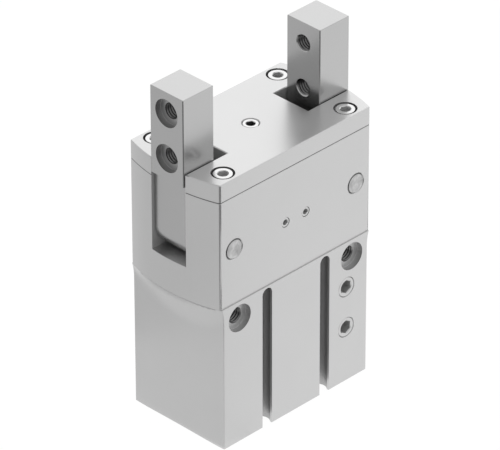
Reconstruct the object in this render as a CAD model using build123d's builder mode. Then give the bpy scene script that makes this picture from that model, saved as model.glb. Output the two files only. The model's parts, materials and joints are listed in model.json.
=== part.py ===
from build123d import *

import os
from math import asin, atan2, cos, hypot, radians, sin, sqrt, tan

# Radial gripper, sizes in millimetres. X runs along the wide faces, the front is towards -Y,
# +Z is up, and the origin is the centre of the base. The jaws stand upright at rest, and each
# swings outwards on its own pin when the air cylinder in the body lifts the crosshead.

# Head of the housing
HEAD_WIDTH = 47.8
HEAD_DEPTH = 28.35
END_BOW = 2.4
HEAD_CORNER_RADIUS = 0.6

# Lower body: narrower than the head at its ends, and a little proud of it on the wide faces
LOWER_HEIGHT = 37.8
LOWER_INSET_X = 0.65
LOWER_PROUD_Y = 0.25
LOWER_CORNER_RADIUS = 0.25
RUNOUT_RADIUS = 15.0
RUNOUT_LEDGE = 0.06
RUNOUT_SECTION_COUNT = 7
BASE_CHAMFER = 0.1

# Cover
COVER_THICKNESS = 4.7
COVER_CHAMFER = 0.2
JOINT_CHAMFER = 0.2
COVER_SCREW_INSET_X = 4.4
COVER_SCREW_INSET_Y = 3.5

# Jaws
JAW_WIDTH = 10.4
JAW_SIDE_GAP = 0.2
FINGER_THICKNESS = 9.5
FINGER_RISE = 19.0
FINGER_RELIEF = 1.2
RELIEF_ABOVE_HEAD = 1.3
FINGER_CHAMFER = 0.2
FINGER_TOP_CHAMFER = 0.15
HUB_RADIUS = 5.6
FLOOR_GAP = 0.15
JAW_HOLE_FROM_TOP = 5.3
JAW_HOLE_SPACING = 11.6
JAW_BACK_CLEARANCE = 0.6

# Swing, counted from the parallel jaws, and what drives it
OPEN_ANGLE = 90.0
OVERCLOSE_ANGLE = 10.0
PISTON_STROKE = 8.0
CAM_LIFT = 3.0
CAM_WALL = 1.3
CAM_SLOT_GAP = 0.05
CAM_TRACK_POINTS = 9
LOBE_POINTS = 7
DRIVE_PIN_DIAMETER = 2.5
DRIVE_PIN_END_GAP = 0.4
PIVOT_PIN_DIAMETER = 5.0
PIN_CHAMFER = 0.2
TONGUE_THICKNESS = 4.0
TONGUE_LUG_RADIUS = 2.2
FORK_GAP = 0.15
FORK_ROOT = 1.5
CROSSHEAD_GAP = 0.5
CROSSHEAD_HEIGHT = 7.5
CROSSHEAD_TOP_MARGIN = 2.5
WELL_CLEARANCE = 0.5
COVER_GAP = 0.9

# Cylinder, from the base up
BORE_DIAMETER = 20.0
CAP_BORE_STEP = 1.0
RING_SETBACK = 0.8
RING_THICKNESS = 1.0
RING_GROOVE_DEPTH = 0.5
RING_WIDTH = 1.8
RING_OPENING = 36.0
RING_EAR_RADIUS = 1.7
RING_EAR_HOLE = 0.7
CAP_FLANGE = 3.7
CAP_SPIGOT = 6.5
CAP_RECESS_DIAMETER = 12.0
CAP_RECESS_DEPTH = 0.8
CAP_CHAMFER = 0.3
LOWER_BUMPER = 1.2
UPPER_BUMPER = 1.4
BUMPER_WIDTH = 2.3
BUMPER_SEAT = 1.4
BUMPER_ROD_GAP = 0.3
BUMPER_CHAMFER = 0.2
STOP_GAP = 0.1
CLAMP_HEIGHT = 3.6
MAGNET_HEIGHT = 3.0
PISTON_HEIGHT = 6.6
PARTITION = 6.8

# Rod and what guides and seals it
ROD_DIAMETER = 8.0
ROD_SPIGOT_DIAMETER = 6.0
ROD_SPIGOT_LENGTH = 1.5
ROD_STUD_DIAMETER = 5.0
ROD_STUD_LENGTH = 6.0
BUSH_WALL = 2.0
SEAL_POCKET_WALL = 3.0
SEAL_HEIGHT = 3.5
SEAL_LIP = 0.9

# Rings on the piston and the end cap
PISTON_GAP = 0.1
HUB_WALL = 3.4
SEAL_GROOVE_HEIGHT = 2.2
SEAL_GROOVE_DEPTH = 2.3
SEAL_GROOVE_BELOW_TOP = 1.1
GUIDE_GROOVE_HEIGHT = 1.6
GUIDE_GROOVE_DEPTH = 0.9
GUIDE_ABOVE_BOTTOM = 0.9
O_RING_SECTION = 1.7
O_RING_GROOVE_HEIGHT = 2.2
O_RING_ABOVE_SEAT = 2.0

# Air ports and ducts
PORT_DIAMETER = 5.0
PORT_INSET_X = 6.75
LOWER_PORT_HEIGHT = 14.7
UPPER_PORT_HEIGHT = 25.7
PORT_MOUTH = 0.15
PORT_THREAD_DEPTH = 8.0
PASSAGE_DIAMETER = 3.0
DUCT_DIAMETER = 1.6
DUCT_OVERLAP = 0.5
DUCT_ABOVE_CAP = 0.05
DUCT_INTO_ROOF = 0.2
PLUG_LENGTH = 4.5
PLUG_SETBACK = 0.1
PLUG_SOCKET = 3.0

# Mounting holes, the same pattern on the front, the back and the base
MOUNT_INSET_X = 5.15
MOUNT_BELOW_STEP = 4.4
MOUNT_THREAD_DIAMETER = 4.0
BASE_THREAD_DEPTH = 8.0
CENTRING_DIAMETER = 7.0
CENTRING_DEPTH = 1.6

# Round grooves for position sensors
SENSOR_SLOT_SPACING = 18.64
SENSOR_MOUTH = 3.06
SENSOR_CHANNEL_DIAMETER = 4.4
SENSOR_LIP = 0.6
SENSOR_BELOW_STEP = 0.5

# Small screws
COVER_SCREW_DIAMETER = 2.5
COVER_SCREW_HEAD = 4.5
COVER_SCREW_HEAD_HEIGHT = 2.5
COVER_SCREW_LENGTH = 8.0
COVER_SCREW_SOCKET = 2.0
COVER_SCREW_HOLE = 2.9
COUNTERBORE_DIAMETER = 5.5
SCREW_SETBACK = 0.1
SCREW_CHAMFER = 0.2
HEAD_SOCKET_SHARE = 0.6
SET_SOCKET_SHARE = 0.5
HOLE_BOTTOM_ROOM = 1.0
COVER_PLUG_DIAMETER = 4.0
COVER_PLUG_LENGTH = 4.0
COVER_PLUG_SOCKET = 2.0
GREASE_SCREW_SPACING = 6.42
GREASE_BELOW_PIVOT = 0.3
GREASE_SCREW_DIAMETER = 2.5
GREASE_SCREW_LENGTH = 5.0
GREASE_SCREW_SOCKET = 1.3
PISTON_SCREW_DIAMETER = 4.0
PISTON_SCREW_HEAD = 7.0
PISTON_SCREW_HEAD_HEIGHT = 2.2
PISTON_SCREW_LENGTH = 16.0
PISTON_SCREW_SOCKET = 2.5

# Radial clearances
CLOSE_FIT = 0.01
RUNNING_FIT = 0.03
THREAD_FIT = 0.02

# How far a cut runs on past the face that it breaks through
OVERRUN = 1.0

# Worked-out widths
half_bow = HEAD_WIDTH / 2 + END_BOW
bow_radius = (HEAD_DEPTH**2 / 4 + END_BOW**2) / (2 * END_BOW)
lower_width = HEAD_WIDTH - 2 * LOWER_INSET_X
lower_depth = HEAD_DEPTH + 2 * LOWER_PROUD_Y
slot_width = JAW_WIDTH + 2 * JAW_SIDE_GAP
pivot_x = half_bow - FINGER_RELIEF - HUB_RADIUS
finger_out = HUB_RADIUS + FINGER_RELIEF
finger_in = FINGER_THICKNESS - finger_out
cover_screw_x = HEAD_WIDTH / 2 - COVER_SCREW_INSET_X
cover_screw_y = HEAD_DEPTH / 2 - COVER_SCREW_INSET_Y
mount_x = lower_width / 2 - MOUNT_INSET_X
port_x = lower_width / 2 - PORT_INSET_X

# Cam: a pin that rises on a line at this distance from the pivot turns the jaw by an angle
# that is exactly in proportion to its rise, when its track in the jaw is an involute
swing = radians(OPEN_ANGLE + OVERCLOSE_ANGLE)
cam_radius = PISTON_STROKE / swing
travel_down = cam_radius * radians(OVERCLOSE_ANGLE)
travel_up = cam_radius * radians(OPEN_ANGLE)
slot_half = DRIVE_PIN_DIAMETER / 2 + CAM_SLOT_GAP
lobe_half = slot_half + CAM_WALL
drive_pin_x = pivot_x - cam_radius


def spread(first, last, count):
    """Evenly spaced values from the first to the last."""
    return [first + (last - first) * index / (count - 1) for index in range(count)]


def cam_point(angle, side=0.0, along=0.0):
    """Point on the cam track from the pivot, inwards and up, for a jaw opened by this angle."""
    turn = radians(angle)
    rise = CAM_LIFT + cam_radius * turn
    inward = cam_radius * cos(turn) + rise * sin(turn)
    up = rise * cos(turn) - cam_radius * sin(turn)
    return (
        inward + side * sin(turn) + along * cos(turn),
        up + side * cos(turn) - along * sin(turn),
    )


# How far the lobe reaches as the jaw turns
lobe_end = cam_point(OPEN_ANGLE)
lobe_reach = hypot(*lobe_end) + lobe_half
lobe_end_angle = atan2(-lobe_end[1], lobe_end[0])
lobe_drop = hypot(*lobe_end) * sin(lobe_end_angle + radians(OVERCLOSE_ANGLE)) + lobe_half
lobe_rise = CAM_LIFT + travel_up + lobe_half
lobe_taper = asin((HUB_RADIUS - lobe_half) / hypot(*lobe_end))
closed_slope = lobe_end_angle - lobe_taper + radians(OVERCLOSE_ANGLE)

# Heights, stacked from the base
cap_bottom = RING_SETBACK + RING_THICKNESS
cap_seat = cap_bottom + CAP_FLANGE
cap_top = cap_seat + CAP_SPIGOT
clamp_bottom = cap_top + LOWER_BUMPER + STOP_GAP + travel_down
magnet_bottom = clamp_bottom + CLAMP_HEIGHT
piston_bottom = magnet_bottom + MAGNET_HEIGHT
piston_top = piston_bottom + PISTON_HEIGHT
bumper_bottom = piston_top + travel_up + STOP_GAP
cylinder_roof = bumper_bottom + UPPER_BUMPER
well_floor = cylinder_roof + PARTITION
pivot_z = well_floor + WELL_CLEARANCE + lobe_drop
window_floor = pivot_z - HUB_RADIUS - FLOOR_GAP
head_top = pivot_z + lobe_rise + COVER_GAP
cover_top = head_top + COVER_THICKNESS
jaw_top = cover_top + FINGER_RISE
drive_pin_z = pivot_z + CAM_LIFT
crosshead_top = drive_pin_z + CROSSHEAD_TOP_MARGIN
crosshead_bottom = crosshead_top - CROSSHEAD_HEIGHT
crosshead_half = pivot_x - lobe_reach - CROSSHEAD_GAP
mount_z = LOWER_HEIGHT - MOUNT_BELOW_STEP

# The well ends outside the point where the closed lobe's underside meets the window floor
floor_drop = HUB_RADIUS + FLOOR_GAP
underside_x = pivot_x + (HUB_RADIUS - floor_drop * cos(closed_slope)) / sin(closed_slope)
well_half = underside_x + WELL_CLEARANCE

# Where the leaning finger needs room behind it in the cover
lean = radians(OVERCLOSE_ANGLE)
finger_lean = finger_in / cos(lean) + (cover_top - pivot_z) * tan(lean)
cover_slot_end = pivot_x - finger_lean - JAW_BACK_CLEARANCE

# Planes that holes start from, each facing out of the solid
head_front = Plane.XZ.offset(HEAD_DEPTH / 2)
head_back = Plane(origin=(0, HEAD_DEPTH / 2, 0), x_dir=(-1, 0, 0), z_dir=(0, 1, 0))
lower_front = Plane.XZ.offset(lower_depth / 2)
lower_back = Plane(origin=(0, lower_depth / 2, 0), x_dir=(-1, 0, 0), z_dir=(0, 1, 0))
base_face = Plane(origin=(0, 0, 0), x_dir=(1, 0, 0), z_dir=(0, 0, -1))
left_pivot = Plane(origin=(-pivot_x, 0, pivot_z), x_dir=(1, 0, 0), z_dir=(0, -1, 0))

LOW_LEFT = (Align.MIN, Align.MIN)
STANDING = (Align.CENTER, Align.MIN)
ON_BASE = (Align.CENTER, Align.CENTER, Align.MIN)


def draw_bowed_outline():
    """Outline of the head and the cover: flat front and back, ends bowed outwards."""
    corner_x = HEAD_WIDTH / 2
    corner_y = HEAD_DEPTH / 2
    with BuildLine() as outline:
        front = Line((-corner_x, -corner_y), (corner_x, -corner_y))
        right_end = ThreePointArc(front @ 1, (half_bow, 0), (corner_x, corner_y))
        back = Line(right_end @ 1, (-corner_x, corner_y))
        ThreePointArc(back @ 1, (-half_bow, 0), front @ 0)
    make_face(outline.line)
    fillet(vertices(), HEAD_CORNER_RADIUS)


def draw_ring(inner, outer, low, high, mode=Mode.ADD):
    """Section of a turned ring or disc, right of the axis, to be revolved."""
    with Locations((inner, low)):
        Rectangle(outer - inner, high - low, align=LOW_LEFT, mode=mode)


def draw_end_cut(side, y):
    """What is milled off beside the lower body, cut across at one depth.

    The flat end runs up into the bowed head through an arc that starts lower where the
    bow stands out further, so that it always ends at the step, a hair inside the head's edge.
    """
    end_x = lower_width / 2
    bow_x = half_bow - bow_radius + sqrt(bow_radius**2 - y**2)
    proud = bow_x - end_x - RUNOUT_LEDGE
    arc_height = sqrt(RUNOUT_RADIUS**2 - (RUNOUT_RADIUS - proud) ** 2)
    beyond = half_bow + OVERRUN
    with BuildLine() as cut:
        run_out = TangentArc(
            (side * end_x, LOWER_HEIGHT - arc_height),
            (side * (end_x + proud), LOWER_HEIGHT),
            tangent=(0, 1),
        )
        Polyline(
            run_out @ 1,
            (side * beyond, LOWER_HEIGHT),
            (side * beyond, -OVERRUN),
            (side * end_x, -OVERRUN),
            run_out @ 0,
        )
    make_face(cut.line)


def drill_duct(start, end):
    """Round air duct between two points, cut from the part that is being built."""
    run = Vector(end) - Vector(start)
    with Locations(Plane(origin=start, z_dir=run)):
        Cylinder(DUCT_DIAMETER / 2, run.length, align=ON_BASE, mode=Mode.SUBTRACT)


def set_screw(diameter, length, socket):
    """Headless screw that points down, its top face at zero, with a hexagon socket."""
    radius = diameter / 2 - THREAD_FIT
    with BuildPart() as screw:
        with BuildSketch(Plane.XZ):
            draw_ring(0, radius, -length, 0)
            chamfer(vertices().group_by(Axis.X)[-1], SCREW_CHAMFER)
        revolve(axis=Axis.Z)
        with BuildSketch():
            RegularPolygon(socket / 2, 6, major_radius=False)
        extrude(amount=-length * SET_SOCKET_SHARE, mode=Mode.SUBTRACT)
    return screw.part


def cap_screw(diameter, length, head, head_height, socket):
    """Socket-head screw that points down, the top of its head at zero."""
    radius = diameter / 2 - THREAD_FIT
    with BuildPart() as screw:
        with BuildSketch(Plane.XZ):
            draw_ring(0, head / 2, -head_height, 0)
            chamfer(vertices().group_by(Axis.Y)[-1].sort_by(Axis.X)[-1], SCREW_CHAMFER)
            draw_ring(0, radius, -head_height - length, -head_height)
        revolve(axis=Axis.Z)
        with BuildSketch():
            RegularPolygon(socket / 2, 6, major_radius=False)
        extrude(amount=-head_height * HEAD_SOCKET_SHARE, mode=Mode.SUBTRACT)
    return screw.part


def cross_pin(diameter, length, chamfer_size):
    """Plain pin along Y, centred on its middle, with chamfered ends."""
    with BuildPart() as pin:
        Cylinder(diameter / 2, length, rotation=(90, 0, 0))
        chamfer(pin.edges().filter_by(GeomType.CIRCLE), chamfer_size)
    return pin.part


def keep(builder, label):
    """Name a finished piece and write it."""
    builder.part.label = label
    export_step(builder.part, f"parts/{label}.step")


os.makedirs("parts", exist_ok=True)

# Housing
with BuildPart() as housing:
    # Lower body, as wide as the head until its ends are milled
    Box(2 * half_bow, lower_depth, LOWER_HEIGHT, align=ON_BASE)
    cut_half_depth = lower_depth / 2 + LOWER_PROUD_Y
    for side in (-1, 1):
        for section_y in spread(-cut_half_depth, cut_half_depth, RUNOUT_SECTION_COUNT):
            with BuildSketch(Plane.XZ.offset(-section_y)):
                draw_end_cut(side, section_y)
        loft(mode=Mode.SUBTRACT)
    wide_faces = housing.faces().filter_by(Axis.Y)
    fillet(wide_faces.edges().filter_by(Axis.X, reverse=True), LOWER_CORNER_RADIUS)
    chamfer(housing.faces().sort_by(Axis.Z)[0].edges(), BASE_CHAMFER)

    # Head
    with BuildSketch(Plane.XY.offset(LOWER_HEIGHT)):
        draw_bowed_outline()
    extrude(amount=head_top - LOWER_HEIGHT)
    chamfer(housing.faces().sort_by(Axis.Z)[-1].edges(), JOINT_CHAMFER)

    # Slot for the jaws through the head, with a deeper well under their lobes
    with BuildSketch(Plane.XZ):
        with Locations((0, window_floor)):
            Rectangle(2 * (half_bow + OVERRUN), head_top - window_floor + OVERRUN, align=STANDING)
        with Locations((0, well_floor)):
            Rectangle(2 * well_half, window_floor - well_floor, align=STANDING)
    extrude(amount=slot_width / 2, both=True, mode=Mode.SUBTRACT)

    # Cylinder, with the wider bore of its end cap below and the rod's bores above
    bore_radius = BORE_DIAMETER / 2
    cap_radius = bore_radius + CAP_BORE_STEP
    bush_radius = ROD_DIAMETER / 2 + BUSH_WALL
    pocket_radius = ROD_DIAMETER / 2 + SEAL_POCKET_WALL
    with BuildSketch(Plane.XZ):
        draw_ring(0, cap_radius, -OVERRUN, cap_seat)
        draw_ring(0, cap_radius + RING_GROOVE_DEPTH, RING_SETBACK, cap_bottom)
        draw_ring(0, bore_radius, cap_seat, cylinder_roof)
        draw_ring(0, pocket_radius, cylinder_roof, cylinder_roof + SEAL_HEIGHT)
        draw_ring(0, bush_radius, cylinder_roof, well_floor + OVERRUN)
    revolve(axis=Axis.Z, mode=Mode.SUBTRACT)

    # Sensor grooves in the front, open at the base and rounded at the top
    channel_radius = SENSOR_CHANNEL_DIAMETER / 2
    channel_depth = SENSOR_LIP + sqrt(channel_radius**2 - SENSOR_MOUTH**2 / 4)
    channel_y = channel_depth - lower_depth / 2
    channel_top = LOWER_HEIGHT - SENSOR_BELOW_STEP - SENSOR_MOUTH / 2
    for groove_x in (-SENSOR_SLOT_SPACING / 2, SENSOR_SLOT_SPACING / 2):
        with BuildSketch():
            with Locations((groove_x, -lower_depth / 2)):
                Rectangle(SENSOR_MOUTH, 2 * channel_depth)
            with Locations((groove_x, channel_y)):
                Circle(channel_radius)
        extrude(amount=channel_top, mode=Mode.SUBTRACT)
        with Locations((groove_x, channel_y, channel_top)):
            Sphere(channel_radius, mode=Mode.SUBTRACT)
            Cylinder(
                SENSOR_MOUTH / 2,
                channel_depth,
                rotation=(90, 0, 0),
                align=ON_BASE,
                mode=Mode.SUBTRACT,
            )

    # Mounting holes right through, with centring bores on both faces, and two in the base
    thread_radius = MOUNT_THREAD_DIAMETER / 2
    for face in (lower_front, lower_back):
        with Locations(face):
            with Locations((-mount_x, mount_z), (mount_x, mount_z)):
                CounterBoreHole(thread_radius, CENTRING_DIAMETER / 2, CENTRING_DEPTH, lower_depth)
    with Locations(base_face):
        with Locations((-mount_x, 0), (mount_x, 0)):
            CounterBoreHole(
                thread_radius, CENTRING_DIAMETER / 2, CENTRING_DEPTH, BASE_THREAD_DEPTH
            )

    # Threaded air ports in both faces, joined by a passage, and a duct into the cylinder
    port_radius = PORT_DIAMETER / 2
    port_heights = (LOWER_PORT_HEIGHT, UPPER_PORT_HEIGHT)
    for face, local_x in ((lower_front, port_x), (lower_back, -port_x)):
        with Locations(face):
            with Locations(*[(local_x, height) for height in port_heights]):
                CounterSinkHole(port_radius, port_radius + PORT_MOUTH, PORT_THREAD_DEPTH, 90)
                Hole(PASSAGE_DIAMETER / 2, lower_depth / 2)
    duct_end_x = bore_radius - DUCT_OVERLAP
    lower_duct_end = cap_top + DUCT_ABOVE_CAP + DUCT_DIAMETER / 2
    upper_duct_end = cylinder_roof + DUCT_INTO_ROOF - DUCT_DIAMETER / 2
    drill_duct((port_x, 0, LOWER_PORT_HEIGHT), (duct_end_x, 0, lower_duct_end))
    drill_duct((port_x, 0, UPPER_PORT_HEIGHT), (duct_end_x, 0, upper_duct_end))

    # Pivot pins lie in bores through the front and back walls
    pin_bore = PIVOT_PIN_DIAMETER / 2 + CLOSE_FIT
    for face in (head_front, head_back):
        with Locations(face):
            with Locations((-pivot_x, pivot_z), (pivot_x, pivot_z)):
                CounterSinkHole(pin_bore, pin_bore + PIN_CHAMFER, HEAD_DEPTH, 90)

    # Grease ducts through the front wall
    grease_x = GREASE_SCREW_SPACING / 2
    grease_z = pivot_z - GREASE_BELOW_PIVOT
    with Locations(head_front):
        with Locations((-grease_x, grease_z), (grease_x, grease_z)):
            Hole(GREASE_SCREW_DIAMETER / 2, HEAD_DEPTH / 2)

    # Threaded holes for the cover screws
    screw_head_seat = cover_top - SCREW_SETBACK - COVER_SCREW_HEAD_HEIGHT
    screw_hole_depth = head_top - screw_head_seat + COVER_SCREW_LENGTH + HOLE_BOTTOM_ROOM
    with Locations((0, 0, head_top)):
        with GridLocations(2 * cover_screw_x, 2 * cover_screw_y, 2, 2):
            Hole(COVER_SCREW_DIAMETER / 2, screw_hole_depth)
keep(housing, "housing")

# Cover plate, with a slot at each end that the finger passes through
with BuildPart() as cover_plate:
    with BuildSketch(Plane.XY.offset(head_top)):
        draw_bowed_outline()
    extrude(amount=COVER_THICKNESS)
    chamfer(cover_plate.faces().sort_by(Axis.Z)[0].edges(), JOINT_CHAMFER)
    slot_length = half_bow - cover_slot_end + OVERRUN
    with BuildSketch(Plane.XY.offset(head_top)):
        for side in (-1, 1):
            with Locations((side * (cover_slot_end + slot_length / 2), 0)):
                Rectangle(slot_length, slot_width)
    extrude(amount=COVER_THICKNESS, mode=Mode.SUBTRACT)
    chamfer(cover_plate.faces().sort_by(Axis.Z)[-1].edges(), COVER_CHAMFER)
    with Locations((0, 0, cover_top)):
        with GridLocations(2 * cover_screw_x, 2 * cover_screw_y, 2, 2):
            CounterBoreHole(
                COVER_SCREW_HOLE / 2,
                COUNTERBORE_DIAMETER / 2,
                SCREW_SETBACK + COVER_SCREW_HEAD_HEIGHT,
                COVER_THICKNESS,
            )
        CounterSinkHole(
            COVER_PLUG_DIAMETER / 2, COVER_PLUG_DIAMETER / 2 + SCREW_CHAMFER, COVER_THICKNESS, 90
        )
keep(cover_plate, "cover_plate")

cover_screw = cap_screw(
    COVER_SCREW_DIAMETER,
    COVER_SCREW_LENGTH,
    COVER_SCREW_HEAD,
    COVER_SCREW_HEAD_HEIGHT,
    COVER_SCREW_SOCKET,
)
with BuildPart() as cover_screws:
    with Locations((0, 0, cover_top - SCREW_SETBACK)):
        with GridLocations(2 * cover_screw_x, 2 * cover_screw_y, 2, 2):
            add(cover_screw)
keep(cover_screws, "cover_screws")

cover_plug = set_screw(COVER_PLUG_DIAMETER, COVER_PLUG_LENGTH, COVER_PLUG_SOCKET)
with BuildPart() as cover_port_screw:
    with Locations((0, 0, cover_top - SCREW_SETBACK)):
        add(cover_plug)
keep(cover_port_screw, "cover_port_screw")

grease_screw = set_screw(GREASE_SCREW_DIAMETER, GREASE_SCREW_LENGTH, GREASE_SCREW_SOCKET)
with BuildPart() as grease_screws:
    with Locations(head_front.offset(-SCREW_SETBACK)):
        with Locations((-grease_x, grease_z), (grease_x, grease_z)):
            add(grease_screw)
keep(grease_screws, "grease_screws")

port_plug = set_screw(PORT_DIAMETER, PLUG_LENGTH, PLUG_SOCKET)
with BuildPart() as port_plugs:
    with Locations(lower_front.offset(-PLUG_SETBACK)):
        with Locations(*[(port_x, height) for height in port_heights]):
            add(port_plug)
keep(port_plugs, "port_plugs")

# Pivot pins, flush with the front and the back
plain_pin = cross_pin(PIVOT_PIN_DIAMETER, HEAD_DEPTH, PIN_CHAMFER)
for side, name in ((-1, "left_pivot_pin"), (1, "right_pivot_pin")):
    with BuildPart() as pivot_pin:
        with Locations((side * pivot_x, 0, pivot_z)):
            add(plain_pin)
    keep(pivot_pin, name)

# Left jaw: finger, hub and cam lobe in one piece, drawn about its pivot
relief_top = head_top + RELIEF_ABOVE_HEAD - pivot_z
finger_top = jaw_top - pivot_z
half_jaw = JAW_WIDTH / 2
with BuildPart() as left_jaw:
    with BuildSketch(left_pivot):
        Circle(HUB_RADIUS)
        with BuildLine():
            Polyline(
                (-HUB_RADIUS, 0),
                (-HUB_RADIUS, relief_top),
                (-finger_out, relief_top),
                (-finger_out, finger_top),
                (finger_in, finger_top),
                (finger_in, 0),
                close=True,
            )
        make_face()
        # The lobe follows the cam track round its outside, and its underside is the line
        # that touches both its rounded tip and the hub
        underside = lobe_taper - lobe_end_angle
        down_x = sin(underside)
        down_y = -cos(underside)
        tip_end = (lobe_end[0] + lobe_half * down_x, lobe_end[1] + lobe_half * down_y)
        lobe_angles = spread(0, OPEN_ANGLE, LOBE_POINTS)
        with BuildLine():
            top = Spline(*[cam_point(angle, lobe_half) for angle in lobe_angles])
            tip = ThreePointArc(top @ 1, cam_point(OPEN_ANGLE, along=lobe_half), tip_end)
            Polyline(tip @ 1, (HUB_RADIUS * down_x, HUB_RADIUS * down_y), (0, 0), top @ 0)
        make_face()
    extrude(amount=half_jaw, both=True)

    # Fork for the crosshead's tongue
    fork_top = cam_point(0, lobe_half)[1]
    fork_floor = HUB_RADIUS + lobe_reach
    with BuildSketch(left_pivot):
        with Locations((FORK_ROOT, fork_top)):
            Rectangle(lobe_reach, fork_floor, align=(Align.MIN, Align.MAX))
    extrude(amount=TONGUE_THICKNESS / 2 + FORK_GAP, both=True, mode=Mode.SUBTRACT)

    # Cam slot and pivot bore
    with BuildSketch(left_pivot):
        Circle(PIVOT_PIN_DIAMETER / 2 + RUNNING_FIT)
        track_angles = spread(-OVERCLOSE_ANGLE, OPEN_ANGLE, CAM_TRACK_POINTS)
        far_end = cam_point(OPEN_ANGLE, along=slot_half)
        near_end = cam_point(-OVERCLOSE_ANGLE, along=-slot_half)
        with BuildLine():
            outer_wall = Spline(*[cam_point(angle, slot_half) for angle in track_angles])
            inner_wall = Spline(*[cam_point(angle, -slot_half) for angle in track_angles])
            ThreePointArc(outer_wall @ 1, far_end, inner_wall @ 1)
            ThreePointArc(outer_wall @ 0, near_end, inner_wall @ 0)
        make_face()
    extrude(amount=half_jaw, both=True, mode=Mode.SUBTRACT)

    # Edges of the finger, and the holes that carry a user's own fingertips
    upright = left_jaw.edges().filter_by(Axis.Z).filter_by(lambda e: e.length > FINGER_RISE)
    chamfer(upright, FINGER_CHAMFER)
    chamfer(left_jaw.faces().sort_by(Axis.Z)[-1].edges(), FINGER_TOP_CHAMFER)
    outer_face = Plane(origin=(-half_bow, 0, jaw_top), x_dir=(0, -1, 0), z_dir=(-1, 0, 0))
    inner_face = Plane(
        origin=(finger_in - pivot_x, 0, jaw_top), x_dir=(0, 1, 0), z_dir=(1, 0, 0)
    )
    hole_places = [(0, -JAW_HOLE_FROM_TOP), (0, -JAW_HOLE_FROM_TOP - JAW_HOLE_SPACING)]
    with Locations(outer_face):
        with Locations(*hole_places):
            CounterBoreHole(
                thread_radius, CENTRING_DIAMETER / 2, CENTRING_DEPTH, FINGER_THICKNESS
            )
    with Locations(inner_face):
        with Locations(*hole_places):
            CounterSinkHole(thread_radius, thread_radius + SCREW_CHAMFER, FINGER_THICKNESS, 90)
keep(left_jaw, "left_jaw")

with BuildPart() as right_jaw:
    add(mirror(left_jaw.part, about=Plane.YZ, mode=Mode.PRIVATE))
keep(right_jaw, "right_jaw")

# Crosshead: a block that slides in the slot, with a tongue that reaches into both jaw forks
with BuildPart() as crosshead:
    with Locations((0, 0, crosshead_bottom)):
        Box(2 * crosshead_half, JAW_WIDTH, CROSSHEAD_HEIGHT, align=ON_BASE)
    with BuildSketch(Plane.XZ):
        with Locations((0, drive_pin_z)):
            SlotCenterToCenter(2 * drive_pin_x, 2 * TONGUE_LUG_RADIUS)
    extrude(amount=TONGUE_THICKNESS / 2, both=True)
    with Locations(Plane.XZ.offset(JAW_WIDTH / 2)):
        with Locations((-drive_pin_x, drive_pin_z), (drive_pin_x, drive_pin_z)):
            Hole(DRIVE_PIN_DIAMETER / 2 + CLOSE_FIT, JAW_WIDTH)
    with Locations(Plane(origin=(0, 0, crosshead_bottom), z_dir=(0, 0, -1))):
        Hole(ROD_STUD_DIAMETER / 2 + THREAD_FIT, ROD_STUD_LENGTH + STOP_GAP)
keep(crosshead, "crosshead")

drive_pin = cross_pin(DRIVE_PIN_DIAMETER, JAW_WIDTH - DRIVE_PIN_END_GAP, PIN_CHAMFER)
with BuildPart() as drive_pins:
    with Locations((-drive_pin_x, 0, drive_pin_z), (drive_pin_x, 0, drive_pin_z)):
        add(drive_pin)
keep(drive_pins, "drive_pins")

# Piston rod, with a stud for the crosshead above and a spigot for the piston below
rod_radius = ROD_DIAMETER / 2
stud_radius = ROD_STUD_DIAMETER / 2
spigot_radius = ROD_SPIGOT_DIAMETER / 2
screw_radius = PISTON_SCREW_DIAMETER / 2
screw_seat = clamp_bottom + PISTON_SCREW_HEAD_HEIGHT + SCREW_SETBACK
screw_tip = screw_seat + PISTON_SCREW_LENGTH
rod_bottom = piston_top - ROD_SPIGOT_LENGTH
with BuildPart() as piston_rod:
    with BuildSketch(Plane.XZ):
        draw_ring(0, spigot_radius - CLOSE_FIT, rod_bottom, piston_top)
        draw_ring(0, rod_radius, piston_top, crosshead_bottom)
        draw_ring(0, stud_radius, crosshead_bottom, crosshead_bottom + ROD_STUD_LENGTH)
        draw_ring(0, screw_radius, rod_bottom, screw_tip + HOLE_BOTTOM_ROOM, Mode.SUBTRACT)
    revolve(axis=Axis.Z)
keep(piston_rod, "piston_rod")

# Piston, with a hub below it for the magnet ring
piston_radius = bore_radius - PISTON_GAP
magnet_hub_radius = spigot_radius + HUB_WALL
seal_top = piston_top - SEAL_GROOVE_BELOW_TOP
guide_bottom = piston_bottom + GUIDE_ABOVE_BOTTOM
with BuildPart() as piston:
    with BuildSketch(Plane.XZ):
        draw_ring(screw_radius, piston_radius, piston_bottom, piston_top)
        draw_ring(screw_radius, magnet_hub_radius, magnet_bottom, piston_bottom)
        draw_ring(0, spigot_radius, rod_bottom, piston_top, Mode.SUBTRACT)
        draw_ring(
            piston_radius - SEAL_GROOVE_DEPTH,
            piston_radius,
            seal_top - SEAL_GROOVE_HEIGHT,
            seal_top,
            Mode.SUBTRACT,
        )
        draw_ring(
            piston_radius - GUIDE_GROOVE_DEPTH,
            piston_radius,
            guide_bottom,
            guide_bottom + GUIDE_GROOVE_HEIGHT,
            Mode.SUBTRACT,
        )
    revolve(axis=Axis.Z)
keep(piston, "piston")

# Piston seal: a lip ring, grooved on its pressure side
with BuildPart() as piston_seal:
    with BuildSketch(Plane.XZ):
        draw_ring(
            piston_radius - SEAL_GROOVE_DEPTH + CLOSE_FIT,
            bore_radius - RUNNING_FIT,
            seal_top - SEAL_GROOVE_HEIGHT + CLOSE_FIT,
            seal_top - CLOSE_FIT,
        )
        chamfer(vertices().sort_by(Axis.X)[-2:], PISTON_GAP)
    revolve(axis=Axis.Z)
keep(piston_seal, "piston_seal")

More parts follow.
